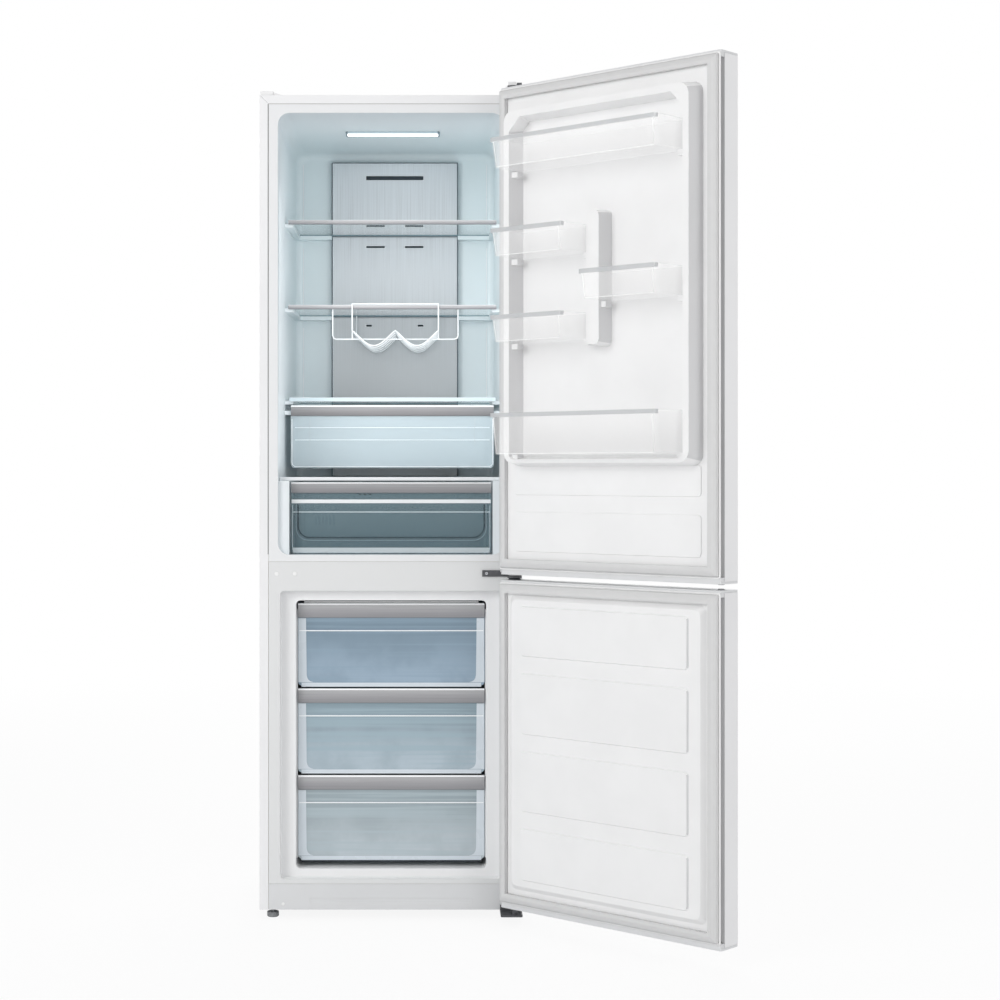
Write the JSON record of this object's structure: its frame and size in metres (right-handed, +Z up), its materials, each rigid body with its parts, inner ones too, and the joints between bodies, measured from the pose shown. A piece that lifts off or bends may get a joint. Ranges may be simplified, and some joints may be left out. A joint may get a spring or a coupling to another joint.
{
  "type": "bottom freezer refrigerator",
  "caption": "Tall fridge over freezer with both doors open on right-hand hinges, glass shelves, wine rack, crispers, freezer drawers and door bins.",
  "frame": {"origin": "middle of the underside of the whole as it stands at rest, with both doors open, on the floor plane", "axes": "+Z up, +Y from the front of the cabinet to its back, +X to the right as seen from the front, where the doors are hinged"},
  "size_m": [1.0207, 1.0472, 1.8873],
  "materials": {
    "white_steel": "satin",
    "zinc_steel": "satin",
    "white_plastic": "satin",
    "liner_plastic": "satin",
    "grey_plastic": "matte",
    "dark_plastic": "matte",
    "gasket_rubber": "matte",
    "insulation": "matte",
    "duct_metal": "satin",
    "trim_metal": "satin",
    "hinge_steel": "satin",
    "shelf_glass": "gloss",
    "clear_plastic": "gloss",
    "smoked_plastic": "gloss",
    "frosted_plastic": "gloss",
    "lamp_lens": "satin",
    "black_steel": "satin",
    "coil_aluminium": "satin",
    "white_wire": "gloss"
  },
  "bodies": {
    "cabinet": {"cabinet_shell": "white_steel", "cabinet_back_panel": "zinc_steel", "insulation_foam": "insulation", "fridge_liner": "liner_plastic", "freezer_liner": "liner_plastic", "base_front_panel": "white_plastic", "base_plate": "zinc_steel", "compressor": "black_steel", "drain_pan": "dark_plastic", "machine_cover": "zinc_steel", "fridge_duct_cover": "duct_metal", "light_lens": "lamp_lens", "freezer_duct_cover": "white_plastic", "evaporator": "coil_aluminium", "crisper_cover_glass": "shelf_glass", "crisper_cover_trim": "trim_metal", "bay_cover_glass": "shelf_glass", "bay_cover_trim": "trim_metal", "top_hinge_bracket": "hinge_steel", "top_hinge_cover": "white_plastic", "spare_hinge_cap": "white_plastic", "middle_hinge_bracket": "hinge_steel", "bottom_hinge_bracket": "hinge_steel"},
    "left_foot": {"left_foot": "grey_plastic"},
    "right_foot": {"right_foot": "grey_plastic"},
    "left_roller": {"left_rear_roller": "dark_plastic"},
    "right_roller": {"right_rear_roller": "dark_plastic"},
    "fan": {"evaporator_fan": "dark_plastic"},
    "upper_shelf": {"upper_shelf_glass": "shelf_glass", "upper_shelf_trim": "trim_metal"},
    "lower_shelf": {"lower_shelf_glass": "shelf_glass", "lower_shelf_trim": "trim_metal", "wine_rack": "white_wire"},
    "upper_crisper": {"upper_crisper_box": "clear_plastic", "upper_crisper_band": "trim_metal"},
    "lower_crisper": {"lower_crisper_box": "smoked_plastic", "lower_crisper_band": "trim_metal"},
    "upper_freezer_drawer": {"upper_freezer_drawer_box": "clear_plastic", "upper_freezer_drawer_band": "trim_metal"},
    "middle_freezer_drawer": {"middle_freezer_drawer_box": "clear_plastic", "middle_freezer_drawer_band": "trim_metal"},
    "lower_freezer_drawer": {"lower_freezer_drawer_box": "clear_plastic", "lower_freezer_drawer_band": "trim_metal"},
    "upper_door": {"upper_door_skin": "white_steel", "upper_door_foam": "insulation", "upper_door_top_cap": "grey_plastic", "upper_door_bottom_cap": "grey_plastic", "upper_door_gasket": "gasket_rubber", "upper_door_liner": "white_plastic"},
    "lower_door": {"lower_door_skin": "white_steel", "lower_door_foam": "insulation", "lower_door_top_cap": "grey_plastic", "lower_door_bottom_cap": "grey_plastic", "lower_door_gasket": "gasket_rubber", "lower_door_liner": "white_plastic"},
    "bin_top": {"door_bin_top": "frosted_plastic"},
    "bin_upper_hinge_side": {"door_bin_upper_hinge_side": "frosted_plastic"},
    "bin_free_side": {"door_bin_free_side": "frosted_plastic"},
    "bin_lower_hinge_side": {"door_bin_lower_hinge_side": "frosted_plastic"},
    "bin_bottom": {"door_bin_bottom": "frosted_plastic"}
  },
  "joints": [
    {"name": "upper_door_hinge", "type": "hinge", "parent": "cabinet", "child": "upper_door", "pos_m": [0.06479, -0.074, 1.3], "axis": [0, 0, 1], "range_deg": [-137.1, 0]},
    {"name": "lower_door_hinge", "type": "hinge", "parent": "cabinet", "child": "lower_door", "pos_m": [0.06479, -0.074, 0.4], "axis": [0, 0, 1], "range_deg": [-137.1, 0]},
    {"name": "upper_shelf_slide", "type": "slide", "parent": "cabinet", "child": "upper_shelf", "axis": [0, -1, 0], "range_m": [0, 0.18]},
    {"name": "lower_shelf_slide", "type": "slide", "parent": "cabinet", "child": "lower_shelf", "axis": [0, -1, 0], "range_m": [0, 0.18]},
    {"name": "upper_crisper_slide", "type": "slide", "parent": "cabinet", "child": "upper_crisper", "axis": [0, -1, 0], "range_m": [0, 0.19]},
    {"name": "lower_crisper_slide", "type": "slide", "parent": "cabinet", "child": "lower_crisper", "axis": [0, -1, 0], "range_m": [0, 0.3]},
    {"name": "upper_freezer_drawer_slide", "type": "slide", "parent": "cabinet", "child": "upper_freezer_drawer", "axis": [0, -1, 0], "range_m": [0, 0.3]},
    {"name": "middle_freezer_drawer_slide", "type": "slide", "parent": "cabinet", "child": "middle_freezer_drawer", "axis": [0, -1, 0], "range_m": [0, 0.3]},
    {"name": "lower_freezer_drawer_slide", "type": "slide", "parent": "cabinet", "child": "lower_freezer_drawer", "axis": [0, -1, 0], "range_m": [0, 0.2]},
    {"name": "bin_top_lift", "type": "slide", "parent": "upper_door", "child": "bin_top", "axis": [0, 0, 1], "range_m": [0, 0.03]},
    {"name": "bin_upper_hinge_side_lift", "type": "slide", "parent": "upper_door", "child": "bin_upper_hinge_side", "axis": [0, 0, 1], "range_m": [0, 0.03]},
    {"name": "bin_free_side_lift", "type": "slide", "parent": "upper_door", "child": "bin_free_side", "axis": [0, 0, 1], "range_m": [0, 0.03]},
    {"name": "bin_lower_hinge_side_lift", "type": "slide", "parent": "upper_door", "child": "bin_lower_hinge_side", "axis": [0, 0, 1], "range_m": [0, 0.03]},
    {"name": "bin_bottom_lift", "type": "slide", "parent": "upper_door", "child": "bin_bottom", "axis": [0, 0, 1], "range_m": [0, 0.03]},
    {"name": "left_foot_screw", "type": "slide", "parent": "cabinet", "child": "left_foot", "axis": [0, 0, 1], "range_m": [-0.01, 0]},
    {"name": "right_foot_screw", "type": "slide", "parent": "cabinet", "child": "right_foot", "axis": [0, 0, 1], "range_m": [-0.01, 0]},
    {"name": "left_roller_spin", "type": "hinge", "parent": "cabinet", "child": "left_roller", "pos_m": [-0.47536, 0.487, 0.015], "axis": [1, 0, 0], "continuous": true},
    {"name": "right_roller_spin", "type": "hinge", "parent": "cabinet", "child": "right_roller", "pos_m": [0.04764, 0.487, 0.015], "axis": [1, 0, 0], "continuous": true},
    {"name": "fan_spin", "type": "hinge", "parent": "cabinet", "child": "fan", "pos_m": [-0.21386, 0.396, 0.652], "axis": [0, 1, 0], "continuous": true}
  ]
}
